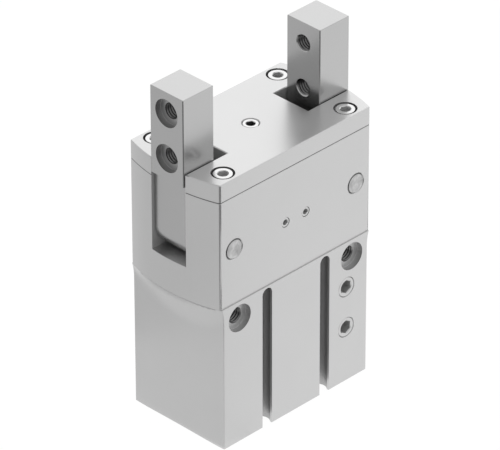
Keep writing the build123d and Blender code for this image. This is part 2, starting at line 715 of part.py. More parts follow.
with BuildPart() as piston_guide_ring:
    with BuildSketch(Plane.XZ):
        draw_ring(
            piston_radius - GUIDE_GROOVE_DEPTH + CLOSE_FIT,
            bore_radius - RUNNING_FIT,
            guide_bottom + CLOSE_FIT,
            guide_bottom + GUIDE_GROOVE_HEIGHT - CLOSE_FIT,
        )
    revolve(axis=Axis.Z)
keep(piston_guide_ring, "piston_guide_ring")

with BuildPart() as piston_magnet:
    with BuildSketch(Plane.XZ):
        draw_ring(
            magnet_hub_radius + CLOSE_FIT,
            piston_radius - PISTON_GAP,
            magnet_bottom,
            piston_bottom,
        )
    revolve(axis=Axis.Z)
keep(piston_magnet, "piston_magnet")

# Clamp plate: holds the magnet ring, with the screw head sunk in it
head_radius = PISTON_SCREW_HEAD / 2
with BuildPart() as magnet_clamp:
    with BuildSketch(Plane.XZ):
        draw_ring(screw_radius, piston_radius, clamp_bottom, magnet_bottom)
        draw_ring(0, head_radius + PISTON_GAP, clamp_bottom, screw_seat, Mode.SUBTRACT)
    revolve(axis=Axis.Z)
keep(magnet_clamp, "magnet_clamp")

clamp_screw = cap_screw(
    PISTON_SCREW_DIAMETER,
    PISTON_SCREW_LENGTH,
    PISTON_SCREW_HEAD,
    PISTON_SCREW_HEAD_HEIGHT,
    PISTON_SCREW_SOCKET,
)
with BuildPart() as piston_screw:
    with Locations(Plane(origin=(0, 0, clamp_bottom + SCREW_SETBACK), z_dir=(0, 0, -1))):
        add(clamp_screw)
keep(piston_screw, "piston_screw")

# Rod bush, from the seal pocket up to the floor of the well
with BuildPart() as rod_bush:
    with BuildSketch(Plane.XZ):
        draw_ring(
            rod_radius + RUNNING_FIT,
            bush_radius - CLOSE_FIT,
            cylinder_roof + SEAL_HEIGHT,
            well_floor,
        )
    revolve(axis=Axis.Z)
keep(rod_bush, "rod_bush")

# Rod seal: two lips that open downwards, towards the pressure
with BuildPart() as rod_seal:
    seal_inner = rod_radius + RUNNING_FIT
    seal_outer = pocket_radius - CLOSE_FIT
    seal_middle = (seal_inner + seal_outer) / 2
    with BuildSketch(Plane.XZ):
        draw_ring(seal_inner, seal_outer, cylinder_roof + STOP_GAP, cylinder_roof + SEAL_HEIGHT)
        with BuildLine():
            Polyline(
                (seal_inner + SEAL_LIP / 2, cylinder_roof),
                (seal_outer - SEAL_LIP / 2, cylinder_roof),
                (seal_middle, cylinder_roof + SEAL_HEIGHT / 2),
                close=True,
            )
        make_face(mode=Mode.SUBTRACT)
    revolve(axis=Axis.Z)
keep(rod_seal, "rod_seal")

# Rubber end stops
bumper_inner = head_radius + PISTON_GAP
with BuildPart() as lower_bumper:
    with BuildSketch(Plane.XZ):
        draw_ring(bumper_inner, bumper_inner + BUMPER_WIDTH, cap_top, cap_top + LOWER_BUMPER)
        chamfer(vertices().group_by(Axis.Y)[-1], BUMPER_CHAMFER)
    revolve(axis=Axis.Z)
keep(lower_bumper, "lower_bumper")
with BuildPart() as upper_bumper:
    with BuildSketch(Plane.XZ):
        draw_ring(
            rod_radius + BUMPER_ROD_GAP,
            pocket_radius + BUMPER_SEAT,
            bumper_bottom,
            cylinder_roof,
        )
        chamfer(vertices().group_by(Axis.Y)[0], BUMPER_CHAMFER)
    revolve(axis=Axis.Z)
keep(upper_bumper, "upper_bumper")

# End cap, with its O-ring and the retaining ring under it
groove_bottom = cap_seat + O_RING_ABOVE_SEAT
groove_radius = bore_radius - O_RING_SECTION
with BuildPart() as end_cap:
    with BuildSketch(Plane.XZ):
        draw_ring(0, cap_radius - CLOSE_FIT, cap_bottom, cap_seat)
        chamfer(vertices().group_by(Axis.Y)[0].sort_by(Axis.X)[-1], CAP_CHAMFER)
        draw_ring(0, bore_radius - CLOSE_FIT, cap_seat, cap_top)
        chamfer(vertices().group_by(Axis.Y)[-1].sort_by(Axis.X)[-1], CAP_CHAMFER)
        draw_ring(
            groove_radius,
            bore_radius,
            groove_bottom,
            groove_bottom + O_RING_GROOVE_HEIGHT,
            Mode.SUBTRACT,
        )
        draw_ring(
            0, CAP_RECESS_DIAMETER / 2, cap_bottom, cap_bottom + CAP_RECESS_DEPTH, Mode.SUBTRACT
        )
    revolve(axis=Axis.Z)
keep(end_cap, "end_cap")

with BuildPart() as end_cap_seal:
    with BuildSketch(Plane.XZ):
        with Locations((bore_radius - O_RING_SECTION / 2, groove_bottom + O_RING_GROOVE_HEIGHT / 2)):
            Circle(O_RING_SECTION / 2 - CLOSE_FIT)
    revolve(axis=Axis.Z)
keep(end_cap_seal, "end_cap_seal")

ring_outer = cap_radius + RING_GROOVE_DEPTH - CLOSE_FIT
ring_middle = ring_outer - RING_WIDTH / 2
half_opening = radians(RING_OPENING / 2)
opening_x = 2 * ring_outer * cos(half_opening)
opening_y = 2 * ring_outer * sin(half_opening)
ear_angle = half_opening + RING_EAR_RADIUS / ring_middle
ear_reach = ring_outer - RING_WIDTH - RING_EAR_RADIUS / 2
with BuildPart() as retaining_ring:
    with BuildSketch(Plane.XY.offset(RING_SETBACK)):
        Circle(ring_outer)
        Circle(ring_outer - RING_WIDTH, mode=Mode.SUBTRACT)
        with BuildLine():
            Polyline((0, 0), (opening_x, -opening_y), (opening_x, opening_y), close=True)
        make_face(mode=Mode.SUBTRACT)
        for turn in (-ear_angle, ear_angle):
            with Locations((ear_reach * cos(turn), ear_reach * sin(turn))):
                Circle(RING_EAR_RADIUS)
                Circle(RING_EAR_HOLE, mode=Mode.SUBTRACT)
    extrude(amount=RING_THICKNESS)
keep(retaining_ring, "retaining_ring")
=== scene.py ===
import json
from math import atan2, cos, pi, radians, sin

import bmesh
import bpy
from mathutils import Matrix, Vector


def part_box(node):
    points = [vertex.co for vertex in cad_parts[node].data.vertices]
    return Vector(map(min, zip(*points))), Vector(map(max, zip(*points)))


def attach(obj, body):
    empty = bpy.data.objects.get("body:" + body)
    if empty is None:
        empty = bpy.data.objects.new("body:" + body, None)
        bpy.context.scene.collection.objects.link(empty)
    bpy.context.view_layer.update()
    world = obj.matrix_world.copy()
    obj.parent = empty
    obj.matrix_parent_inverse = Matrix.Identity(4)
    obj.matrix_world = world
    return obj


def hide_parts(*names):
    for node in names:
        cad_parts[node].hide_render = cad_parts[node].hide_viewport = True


# Radial gripper: the finish of every surface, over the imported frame. Metres, with the base on
# the floor, the wide front towards -Y and the jaws upright.
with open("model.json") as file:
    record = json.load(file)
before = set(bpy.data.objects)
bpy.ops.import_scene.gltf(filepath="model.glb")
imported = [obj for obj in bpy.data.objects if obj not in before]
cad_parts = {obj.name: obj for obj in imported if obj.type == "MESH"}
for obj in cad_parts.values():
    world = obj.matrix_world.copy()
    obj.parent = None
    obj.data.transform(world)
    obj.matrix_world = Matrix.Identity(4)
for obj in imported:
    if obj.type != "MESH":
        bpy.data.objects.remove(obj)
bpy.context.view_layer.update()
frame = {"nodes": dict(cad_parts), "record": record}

MM = 0.001

# Camera of the photograph: where it stands, and where it points
CAMERA_PLACE = (-0.72166, -0.71648, 0.68432)
CAMERA_AZIMUTH = 45.195
CAMERA_ELEVATION = 32.216
CAMERA_ROLL = -0.103
CAMERA_LENS = 381.53

# Pitch of the coarse threads, how far their ridges stand in from the nominal diameter as a share
# of it, and the steps of one turn
M4_PITCH = 0.7 * MM
M5_PITCH = 0.8 * MM
THREAD_DEPTH_SHARE = 0.36
THREAD_STEPS = 36

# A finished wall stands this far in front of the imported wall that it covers
COVER_WALL = 0.025 * MM

# Small parts and holes, as the part itself has them
SCREW_HEAD = 4.5 * MM
SCREW_HEAD_HEIGHT = 2.5 * MM
SCREW_SHANK = 2.46 * MM
SCREW_SOCKET = 2.3 * MM
CENTRE_SOCKET = 2.0 * MM
GREASE_SOCKET = 1.3 * MM
PLUG_SOCKET = 3.0 * MM
GROOVE_X = 9.32 * MM
CENTRING_RADIUS = 3.5 * MM
CENTRING_DEPTH = 1.6 * MM
BASE_THREAD_LENGTH = 6.38 * MM
JAW_THREAD_LENGTH = 7.7 * MM

# Edges of the cover screws, and the knurl that runs from below the head's rounded edge to near
# its underside
HEAD_ROUNDING = 0.12 * MM
HEAD_UNDER_EDGE = 0.08 * MM
KNURL_RIDGE = 0.06 * MM
KNURL_RUN_IN = 0.05 * MM
KNURL_TOP = 0.3 * MM
KNURL_FROM_UNDERSIDE = 0.15 * MM
SHANK_CHAMFER = 0.2 * MM

# Chamfers of the headless screws, and of the pins: across their face and down their side
CENTRE_SCREW_EDGE = 0.2 * MM
GREASE_SCREW_EDGE = 0.15 * MM
PLUG_EDGE = 0.12 * MM
PIN_EDGE_ACROSS = 0.22 * MM
PIN_EDGE_DOWN = 0.18 * MM

# Points round a turned piece: the corners of a hexagon and the ridges of a knurl both fall on them
RING_POINTS = 72

# Edges that turn by less than this are part of a curve, triangles that turn by less than this are
# one flat face, and points this close are one point
SMOOTH_ANGLE = radians(25)
FLAT_ANGLE = radians(0.1)
SAME_POINT = 0.0005 * MM

# How far the slow clouds of a machined face change its roughness
CLOUD_ROUGHNESS = 0.03

# Marks that a turning tool leaves
FEED_MARK_DEPTH = 0.003 * MM

# Space of the slot for the jaws, from the lowest point of its well, and of the sensor grooves
SLOT_HALF_WIDTH = 5.45 * MM
SLOT_HALF_LENGTH = 26.2 * MM
WELL_BELOW_PIVOT = 12 * MM
GROOVE_HALF_WIDTH = 2.3 * MM
GROOVE_FRONT = -14.3 * MM
GROOVE_BACK = -9.5 * MM
GROOVE_TOP = 38 * MM

# The outside of the joint between cover and head lies beyond these, on the front or on the ends,
# and its faces fold by more than this
JOINT_OUTSIDE_X = 23.2 * MM
JOINT_OUTSIDE_Y = 13.5 * MM
JOINT_FOLD = radians(30)

# Dark ring in that joint, painted shade of the gap between cover and head: how far it stands out
# from the joint's flat, and its height
SEAM_SHADE_PROUD = 0.105 * MM
SEAM_SHADE_HEIGHT = 0.2 * MM

WHITE = (1, 1, 1, 1)

# Brightness of the floor in reflections, by direction from the near corner of the body: shares of
# a full turn from the left end's direction on, through the camera's, the right and the back
FLOOR_CORNER = (-24 * MM, -14.5 * MM, 0)
FLOOR_SECTORS = [
    (0.0, 0.73),
    (0.03, 0.73),
    (0.07, 0.2),
    (0.32, 0.2),
    (0.345, 1.0),
    (0.72, 1.0),
    (0.78, 0.69),
    (0.9, 0.69),
    (1.0, 0.73),
]

# Close to the corner the floor is at least this bright, up to the first distance, and the last of
# that light is gone at the second
NEAR_BRIGHTNESS = 0.8
NEAR_BRIGHT_UP_TO = 50 * MM
NEAR_DARK_FROM = 62 * MM

# Brightness of the studio to the left and to the right, and how far aside each is reached
STUDIO_LEFT = 0.58
STUDIO_RIGHT = 1.0
STUDIO_FADE = 0.75


def linear(hex_colour):
    """An sRGB hex colour as linear red, green, blue and alpha."""
    shares = [int(hex_colour[start:start + 2], 16) / 255 for start in (1, 3, 5)]
    curved = [s / 12.92 if s <= 0.04045 else ((s + 0.055) / 1.055) ** 2.4 for s in shares]
    return (*curved, 1)


def add(tree, kind, inputs=(), **settings):
    """One node; each input is a value, or the output socket that feeds it."""
    node = tree.nodes.new(kind)
    for name, value in settings.items():
        setattr(node, name, value)
    for name, value in dict(inputs).items():
        if isinstance(value, bpy.types.NodeSocket):
            tree.links.new(value, node.inputs[name])
        else:
            node.inputs[name].default_value = value
    return node


def new_material(name):
    """An empty material with its output node."""
    material = bpy.data.materials.new(name)
    material.use_nodes = True
    tree = material.node_tree
    tree.nodes.clear()
    return material, tree, add(tree, "ShaderNodeOutputMaterial")


def metal(name, colour, roughness, grain, grain_height, stretch=(1, 1, 1), sheen=1.0):
    """A machined or blasted metal.

    The grain is a fine noise, one lump to each grain width, drawn out along the tool's path by
    stretch, and its bump breaks up the highlights. A slow cloudiness shifts the roughness and the
    tone a little. A sheen under 1 is a metal under a thin clear layer that scatters some light.
    """
    material, tree, output = new_material(name)
    place = add(tree, "ShaderNodeTexCoord").outputs["Object"]
    along = add(tree, "ShaderNodeMapping", {"Vector": place, "Scale": stretch}).outputs["Vector"]
    fine = add(tree, "ShaderNodeTexNoise", {"Vector": along, "Scale": 1 / grain, "Detail": 3.0})
    bump = add(
        tree,
        "ShaderNodeBump",
        {"Height": fine.outputs["Fac"], "Distance": grain_height, "Strength": 1.0},
    )
    shader = clouded(tree, place, colour, roughness, bump, sheen)
    tree.links.new(shader.outputs["BSDF"], output.inputs["Surface"])
    return material


def clouded(tree, place, colour, roughness, bump, sheen=1.0, cloud=12 * MM, tone_share=0.03):
    """Shader of a metal whose tone and roughness drift slowly over its faces."""
    slow = add(tree, "ShaderNodeTexNoise", {"Vector": place, "Scale": 1 / cloud})
    worn = add(
        tree,
        "ShaderNodeMapRange",
        {
            "Value": slow.outputs["Fac"],
            "To Min": roughness - CLOUD_ROUGHNESS,
            "To Max": roughness + CLOUD_ROUGHNESS,
        },
    )
    tone = add(
        tree,
        "ShaderNodeMapRange",
        {"Value": slow.outputs["Fac"], "To Min": 1 - tone_share, "To Max": 1 + tone_share},
    )
    tinted = add(
        tree,
        "ShaderNodeHueSaturation",
        {"Value": tone.outputs["Result"], "Color": linear(colour)},
    )
    return add(
        tree,
        "ShaderNodeBsdfPrincipled",
        {
            "Base Color": tinted.outputs["Color"],
            "Metallic": sheen,
            "Roughness": worn.outputs["Result"],
            "Normal": bump.outputs["Normal"],
        },
    )


def turned(
    name, colour, roughness, axis, middle=(0, 0, 0), half=(0, 0, 0), feed=0.25 * MM, **clouds
):
    """A metal faced on a lathe: fine rings, one feed apart, round each centre.

    The centres lie at the middle plus and minus half, along each direction.
    """
    material, tree, output = new_material(name)
    place = add(tree, "ShaderNodeTexCoord").outputs["Object"]
    moved = add(tree, "ShaderNodeVectorMath", {0: place, 1: middle}, operation="SUBTRACT")
    folded = add(tree, "ShaderNodeVectorMath", {0: moved.outputs[0]}, operation="ABSOLUTE")
    centred = add(
        tree, "ShaderNodeVectorMath", {0: folded.outputs[0], 1: half}, operation="SUBTRACT"
    )
    rings = add(
        tree,
        "ShaderNodeTexWave",
        {"Vector": centred.outputs[0], "Scale": pi / 10 / feed},
        wave_type="RINGS",
        rings_direction=axis,
    )
    bump = add(
        tree,
        "ShaderNodeBump",
        {"Height": rings.outputs["Fac"], "Distance": FEED_MARK_DEPTH, "Strength": 1.0},
    )
    shader = clouded(tree, place, colour, roughness, bump, **clouds)
    tree.links.new(shader.outputs["BSDF"], output.inputs["Surface"])
    return material


mounts = {mount["name"]: mount for mount in frame["record"]["mounts"]}
pivot_low, pivot_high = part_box("right_pivot_pin")
pivot_centre = (Vector(pivot_low) + Vector(pivot_high)) / 2
grease_low, grease_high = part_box("grease_screws")
plug_low, plug_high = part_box("port_plugs")
screw_low, screw_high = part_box("cover_screws")
centre_low, centre_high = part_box("cover_port_screw")
cover_low, cover_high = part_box("cover_plate")
grease_radius = (grease_high[2] - grease_low[2]) / 2
plug_radius = (plug_high[0] - plug_low[0]) / 2
grease_middle = Vector((0, 0, (grease_low[2] + grease_high[2]) / 2))
grease_half = Vector((grease_high[0] - grease_radius, 0, 0))
plug_middle = Vector(((plug_low[0] + plug_high[0]) / 2, 0, (plug_low[2] + plug_high[2]) / 2))
plug_half = Vector((0, 0, (plug_high[2] - plug_low[2]) / 2 - plug_radius))
screw_half = Vector((screw_high[0] - SCREW_HEAD / 2, screw_high[1] - SCREW_HEAD / 2, 0))

# Clear-anodised aluminium, satin from the blasting before the bath: it gives the soft, even grey
# of the body, and blurs what it mirrors. The real grit is finer than 0.1 mm; it is drawn at
# 0.25 mm, so that it shows. The oxide layer on top scatters a tenth of the light.
anodised = metal("clear_anodised_aluminium", "#D0D0D0", 0.30, 0.25 * MM, 0.0010 * MM, sheen=0.9)

# Hardened and ground steel of the jaws: a little darker than the body, with fine lines up and
# down from the grinding wheel, drawn 0.2 mm apart
jaw_steel = metal(
    "ground_hardened_steel", "#BFBFBF", 0.26, 0.2 * MM, 0.0010 * MM, stretch=(1, 1, 0.04)
)

# Stainless steel of the small screws: bright, with the rings of the lathe on each face
SCREW_HEX = "#DCDCDC"
cover_screw_steel = turned(
    "turned_stainless_steel_cover_screw", SCREW_HEX, 0.20, "Z", half=screw_half
)
centre_screw_steel = turned("turned_stainless_steel_centre_screw", SCREW_HEX, 0.20, "Z")
grease_screw_steel = turned(
    "turned_stainless_steel_grease_screw", "#D2D2D2", 0.30, "Y", grease_middle, grease_half
)
plug_steel = turned(
    "turned_stainless_steel_port_plug", "#CECECE", 0.30, "Y", plug_middle, plug_half
)

# Pins: fine grinding lines along the hidden ones, and faced ends on the pivots, with lathe rings
# and broad light and dark patches painted into their tone as a patchy reflection
ground_pin = metal("ground_pin_steel", "#BCBCBC", 0.24, 0.2 * MM, 0.0008 * MM, stretch=(1, 0.04, 1))
pin_face_painted_sheen = turned(
    "faced_pin_painted_sheen",
    "#BEBEBE",
    0.30,
    "Y",
    half=Vector((pivot_centre.x, 0, pivot_centre.z)),
    cloud=1.5 * MM,
    tone_share=0.6,
)

# Broached sockets: rougher and duller than the faces round them, and their colour is painted shade:
# a little darker in the cover and grease screws, darker in the plugs, nearly black in the middle of
# the cover; the turned edges of the pins are painted dark as shade.
hex_shade_steel = metal("broached_socket_painted_shade", "#C4C4C4", 0.5, 0.12 * MM, 0.0008 * MM, sheen=0.4)
plug_hex_shade = metal("painted_shade_plug_hex", "#B2B2B2", 0.5, 0.12 * MM, 0.0008 * MM, sheen=0.4)
centre_hex_shade = metal("painted_shade_centre_hex", "#6A6A6A", 0.5, 0.12 * MM, 0.0008 * MM, sheen=0.8)
# Turned edges of the pins: painted shade, a dark ring round each pin end
pin_edge_shade = metal("painted_shade_pin_edge", "#6E6E6E", 0.4, 0.12 * MM, 0.0008 * MM)

# Turned aluminium of the end cap and the piston: clean, with rings 0.4 mm apart
turned_cap = turned("turned_aluminium", "#C6C6C7", 0.25, "Z", feed=0.4 * MM)

# Bored walls: duller than the faces round them, from the fine rings of the boring tool
BORE_GRAIN = 0.12 * MM
bored_aluminium = metal(
    "bored_anodised_aluminium", "#C8C8C8", 0.45, BORE_GRAIN, 0.0008 * MM, sheen=0.9
)
bored_steel = metal("bored_steel", "#B4B4B4", 0.45, BORE_GRAIN, 0.0008 * MM)

# Tapped threads, darker than the walls round them
tapped_thread_dark = metal("dark_tapped_thread", "#7A7A7A", 0.28, BORE_GRAIN, 0.0008 * MM)

# Slot for the jaws: milled, then blasted and anodised, so it is dull and shows light in its depth
milled_slot = metal("blasted_slot", "#BDBDBD", 0.6, 0.25 * MM, 0.0010 * MM, sheen=0.45)

# Dark strip in the joint between cover and head: painted shade of the gap, dull and dark
painted_joint_shade = metal("painted_joint_shade", "#666666", 0.5, 0.12 * MM, 0.0008 * MM, sheen=0.3)

# Sensor grooves: the cutter's fine ribs drawn as a bump, and the colour painted darker as the shade
# inside the groove
groove_painted_shade = metal(
    "groove_painted_shade", "#B8B8B8", 0.42, 0.25 * MM, 0.0010 * MM, stretch=(1, 1, 0.04), sheen=0.9
)

# Phosphated spring steel: nearly black, with a dull crystal bloom
spring = metal("phosphated_spring_steel", "#3B3A3C", 0.45, 0.2 * MM, 0.0020 * MM)

# Oil-soaked sintered bronze: brown, with open pores
bronze = metal("sintered_bronze", "#A07C4A", 0.45, 0.1 * MM, 0.0040 * MM)

# Nickel-plated magnet: smooth and a little dark
magnet = metal("nickel_plated_magnet", "#8E8D8A", 0.30, 0.2 * MM, 0.0010 * MM)


def matte(name, colour, roughness, grain, grain_height):
    """Rubber or plastic with a fine moulded grain."""
    material, tree, output = new_material(name)
    place = add(tree, "ShaderNodeTexCoord").outputs["Object"]
    fine = add(tree, "ShaderNodeTexNoise", {"Vector": place, "Scale": 1 / grain, "Detail": 3.0})
    bump = add(
        tree, "ShaderNodeBump", {"Height": fine.outputs["Fac"], "Distance": grain_height}
    )
    shader = add(
        tree,
        "ShaderNodeBsdfPrincipled",
        {
            "Base Color": linear(colour),
            "Roughness": roughness,
            "Normal": bump.outputs["Normal"],
        },
    )
    tree.links.new(shader.outputs["BSDF"], output.inputs["Surface"])
    return material


# Black nitrile rubber of the seals and bumpers, with the faint orange peel of its mould
rubber = matte("moulded_nitrile_rubber", "#262628", 0.6, 0.2 * MM, 0.004 * MM)

# Brown filled bearing plastic, cut on a lathe and slightly rough
plastic = matte("guide_ring_plastic", "#6A5B48", 0.5, 0.2 * MM, 0.003 * MM)


def finish_piece(name, bm, materials, body):
    """Makes a finished object of a bmesh, smooth where its faces turn gently."""
    bmesh.ops.recalc_face_normals(bm, faces=bm.faces)
    mesh = bpy.data.meshes.new(name)
    bm.to_mesh(mesh)
    bm.free()
    mesh.shade_smooth()
    mesh.set_sharp_from_angle(angle=SMOOTH_ANGLE)
    for material in materials:
        mesh.materials.append(material)
    piece = bpy.data.objects.new(name, mesh)
    bpy.context.scene.collection.objects.link(piece)
    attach(piece, body)
    return piece


def in_slot(point):
    """Whether a point is on the walls or the floor of the slot for the jaws."""
    across = abs(point.y) < SLOT_HALF_WIDTH and abs(point.x) < SLOT_HALF_LENGTH
    return across and point.z > pivot_centre.z - WELL_BELOW_PIVOT


def in_groove(point):
    """Whether a point is inside a sensor groove, behind the front face."""
    across = abs(abs(point.x) - GROOVE_X) < GROOVE_HALF_WIDTH
    return across and GROOVE_FRONT < point.y < GROOVE_BACK and point.z < GROOVE_TOP


def joint_edges(bm):
    """Edges of the cover's outside, where it meets the head."""
    joint = {
        vert
        for vert in bm.verts
        if abs(vert.co.z - cover_low[2]) < 2 * SAME_POINT
        and (abs(vert.co.y) > JOINT_OUTSIDE_Y or abs(vert.co.x) > JOINT_OUTSIDE_X)
    }
    return {
        edge
        for edge in bm.edges
        if set(edge.verts) <= joint and edge.calc_face_angle(0) > JOINT_FOLD
    }


def merged(node):
    """A copy of a CAD node with its triangles joined."""
    bm = bmesh.new()
    bm.from_mesh(frame["nodes"][node].data)
    bmesh.ops.remove_doubles(bm, verts=bm.verts, dist=SAME_POINT)
    bmesh.ops.dissolve_limit(
        bm, angle_limit=FLAT_ANGLE, verts=bm.verts, edges=bm.edges, use_dissolve_boundaries=False
    )
    return bm


def smooth_copy(node, materials, body, places=()):
    """A finished copy of a CAD node, whose curves shade smoothly.

    Each test of places picks out the faces that get the next material.
    """
    bm = merged(node)
    for face in bm.faces:
        face.material_index = 0
        for index, inside in enumerate(places):
            if all(inside(vert.co) for vert in face.verts):
                face.material_index = index + 1
    piece = finish_piece(f"{node}_finished", bm, materials, body)
    weighted = piece.modifiers.new("even_faces", "WEIGHTED_NORMAL")
    weighted.keep_sharp = True
    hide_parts(node)
    return piece


smooth_copy(
    "housing",
    [anodised, milled_slot, groove_painted_shade],
    "housing",
    [in_slot, in_groove],
)
smooth_copy(
    "cover_plate",
    [anodised, milled_slot],
    "housing",
    [in_slot],
)

# Dark line in the joint between the head and the cover, painted shade of the gap: a ring that fills
# the inner half of the groove between their chamfers
around_ring = (
    (SEAM_SHADE_PROUD, -SEAM_SHADE_HEIGHT / 2),
    (0, SEAM_SHADE_HEIGHT),
    (-SEAM_SHADE_PROUD, 0),
    (0, -SEAM_SHADE_HEIGHT),
    (SEAM_SHADE_PROUD, 0),
)
seam = merged("cover_plate")
outline = joint_edges(seam)
bmesh.ops.delete(seam, geom=seam.faces[:], context="FACES_ONLY")
bmesh.ops.delete(seam, geom=[edge for edge in seam.edges if edge not in outline], context="EDGES")
bmesh.ops.delete(seam, geom=[vert for vert in seam.verts if not vert.link_edges], context="VERTS")
loop = seam.verts[:]
edges = seam.edges[:]
for index, (outward, lift) in enumerate(around_ring):
    if index:
        made = bmesh.ops.extrude_edge_only(seam, edges=edges)["geom"]
        loop = [item for item in made if isinstance(item, bmesh.types.BMVert)]
        edges = [
            item
            for item in made
            if isinstance(item, bmesh.types.BMEdge) and set(item.verts) <= set(loop)
        ]
    bmesh.ops.scale(
        seam, verts=loop, vec=(1 + outward / cover_high[0], 1 + outward / cover_high[1], 1)
    )
    bmesh.ops.translate(seam, verts=loop, vec=(0, 0, lift))
bmesh.ops.remove_doubles(seam, verts=seam.verts, dist=4 * SAME_POINT)
bmesh.ops.holes_fill(seam, edges=[edge for edge in seam.edges if edge.is_boundary])
finish_piece("painted_joint_shade_line", seam, [painted_joint_shade], "housing")

smooth_copy("end_cap", [turned_cap], "housing")
smooth_copy("retaining_ring", [spring], "housing")
smooth_copy("rod_bush", [bronze], "housing")
smooth_copy("crosshead", [jaw_steel], "drive")
smooth_copy("drive_pins", [ground_pin], "drive")
smooth_copy("piston_rod", [ground_pin], "drive")
for side in ("left", "right"):
    smooth_copy(f"{side}_jaw", [jaw_steel], f"{side}_jaw")


def towards(place, direction):
    """Matrix that stands a piece at a place, with its Z axis along a direction."""
    turn = Vector(direction).to_track_quat("Z", "Y").to_matrix().to_4x4()
    return Matrix.Translation(place) @ turn


def join(bm, shape, placed):
    """Stands a finished shape at its place in the piece."""
    bmesh.ops.transform(shape, verts=shape.verts, matrix=placed)
    mesh = bpy.data.meshes.new("shape")
    shape.to_mesh(mesh)
    shape.free()
    bm.from_mesh(mesh)
    bpy.data.meshes.remove(mesh)


def spun(bm, profile, placed, closed=False):
    """A turned shape from its profile, pairs of radius and height.

    An open profile starts and ends on the axis; a closed one makes a ring.
    """
    shape = bmesh.new()
    corners = [shape.verts.new((radius, 0, height)) for radius, height in profile]
    for low, high in zip(corners, corners[1:]):
        shape.edges.new((low, high))
    if closed:
        shape.edges.new((corners[-1], corners[0]))
    bmesh.ops.spin(
        shape,
        geom=shape.verts[:] + shape.edges[:],
        cent=(0, 0, 0),
        axis=(0, 0, 1),
        angle=2 * pi,
        steps=RING_POINTS,
        use_merge=True,
    )
    bmesh.ops.remove_doubles(shape, verts=shape.verts, dist=SAME_POINT)
    join(bm, shape, placed)


def rounded(radius, height, size, steps=5):
    """Points of a rounded outer edge, from the end face at this height to the side below it."""
    turns = [pi / 2 * step / steps for step in range(steps + 1)]
    return [
        (radius - size + size * sin(turn), height - size + size * cos(turn)) for turn in turns
    ]


def hexagon(across):
    """Distance from the axis to a hexagon, for each point of a ring."""
    sixth = pi / 3
    turns = [2 * pi * point / RING_POINTS for point in range(RING_POINTS)]
    return [across / 2 / cos((turn + sixth / 2) % sixth - sixth / 2) for turn in turns]


def circle(radius):
    """The same distance from the axis for each point of a ring."""
    return [radius] * RING_POINTS


def knurl(radius, ridge):
    """Distance from the axis to a knurled side, a ridge on every other point of a ring."""
    return [radius - ridge * (point % 2) for point in range(RING_POINTS)]


def stack(bm, rings, placed, dark=4):
    """A closed shape through rings of points, each given as its radii and its height.

    The faces below the ring of number dark get the second material, the socket's colour with its
    shade painted in.
    """
    shape = bmesh.new()
    loop = bmesh.ops.create_circle(shape, segments=RING_POINTS, radius=MM)["verts"]
    tip = bmesh.ops.contextual_create(shape, geom=loop)["faces"]
    tip[0].material_index = 1
    edges = shape.edges[:]
    for index, (radii, height) in enumerate(rings):
        if index:
            made = bmesh.ops.extrude_edge_only(shape, edges=edges)["geom"]
            loop = [item for item in made if isinstance(item, bmesh.types.BMVert)]
            for face in [item for item in made if isinstance(item, bmesh.types.BMFace)]:
                face.material_index = int(index < dark)
            edges = [
                item
                for item in made
                if isinstance(item, bmesh.types.BMEdge) and set(item.verts) <= set(loop)
            ]
        for vert in loop:
            turn = atan2(vert.co.y, vert.co.x)
            radius = radii[round(turn / (2 * pi) * RING_POINTS) % RING_POINTS]
            vert.co = (radius * cos(turn), radius * sin(turn), height)
    lid = bmesh.ops.contextual_create(shape, geom=edges)["faces"]
    for face in lid:
        face.material_index = 0
    join(bm, shape, placed)


def socket(across, depth):
    """Rings of a hexagon socket, from the drilled tip up to its countersunk mouth at zero."""
    mouth = 0.06 * across
    corner = across / 2 / cos(pi / 6)
    return [
        (circle(0.1 * across), -depth - 0.25 * across),
        (circle(0.47 * across), -depth),
        (hexagon(across), -depth),
        (hexagon(across), -mouth),
        (circle(corner + mouth / 3), 0),
    ]


def turned_rings(points):
    """Rings of a turned side from pairs of radius and height."""
    return [(circle(radius), height) for radius, height in points]


def set_screw_rings(radius, length, across, edge):
    """Rings of a headless screw, its top face at zero."""
    return socket(across, length / 2) + turned_rings(
        [
            (radius - edge, 0),
            (radius, -edge),
            (radius, edge - length),
            (radius - edge, -length),
        ]
    )


# Screws of the cover: knurled heads with rounded edges and hexagon sockets
shank_radius = SCREW_SHANK / 2
screw_length = screw_high[2] - screw_low[2]
bm = bmesh.new()
for x in (-screw_half.x, screw_half.x):
    for y in (-screw_half.y, screw_half.y):
        stack(
            bm,
            socket(SCREW_SOCKET, 0.6 * SCREW_HEAD_HEIGHT)
            + turned_rings(rounded(SCREW_HEAD / 2, 0, HEAD_ROUNDING))
            + [
                (circle(SCREW_HEAD / 2), KNURL_RUN_IN - KNURL_TOP),
                (knurl(SCREW_HEAD / 2, KNURL_RIDGE), -KNURL_TOP),
                (knurl(SCREW_HEAD / 2, KNURL_RIDGE), KNURL_FROM_UNDERSIDE - SCREW_HEAD_HEIGHT),
                (circle(SCREW_HEAD / 2 - HEAD_UNDER_EDGE), -SCREW_HEAD_HEIGHT),
                (circle(shank_radius), -SCREW_HEAD_HEIGHT),
                (circle(shank_radius), SHANK_CHAMFER - screw_length),
                (circle(shank_radius - SHANK_CHAMFER), -screw_length),
            ],
            Matrix.Translation((x, y, screw_high[2])),
        )
piece = finish_piece(
    "cover_socket_screws", bm, [cover_screw_steel, hex_shade_steel], "housing"
)
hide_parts("cover_screws")

# Grub screw in the middle of the cover
bm = bmesh.new()
stack(
    bm,
    set_screw_rings(
        (centre_high[0] - centre_low[0]) / 2,
        centre_high[2] - centre_low[2],
        CENTRE_SOCKET,
        CENTRE_SCREW_EDGE,
    ),
    Matrix.Translation((0, 0, centre_high[2])),
)
piece = finish_piece(
    "cover_grub_screw", bm, [centre_screw_steel, centre_hex_shade], "housing"
)
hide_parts("cover_port_screw")

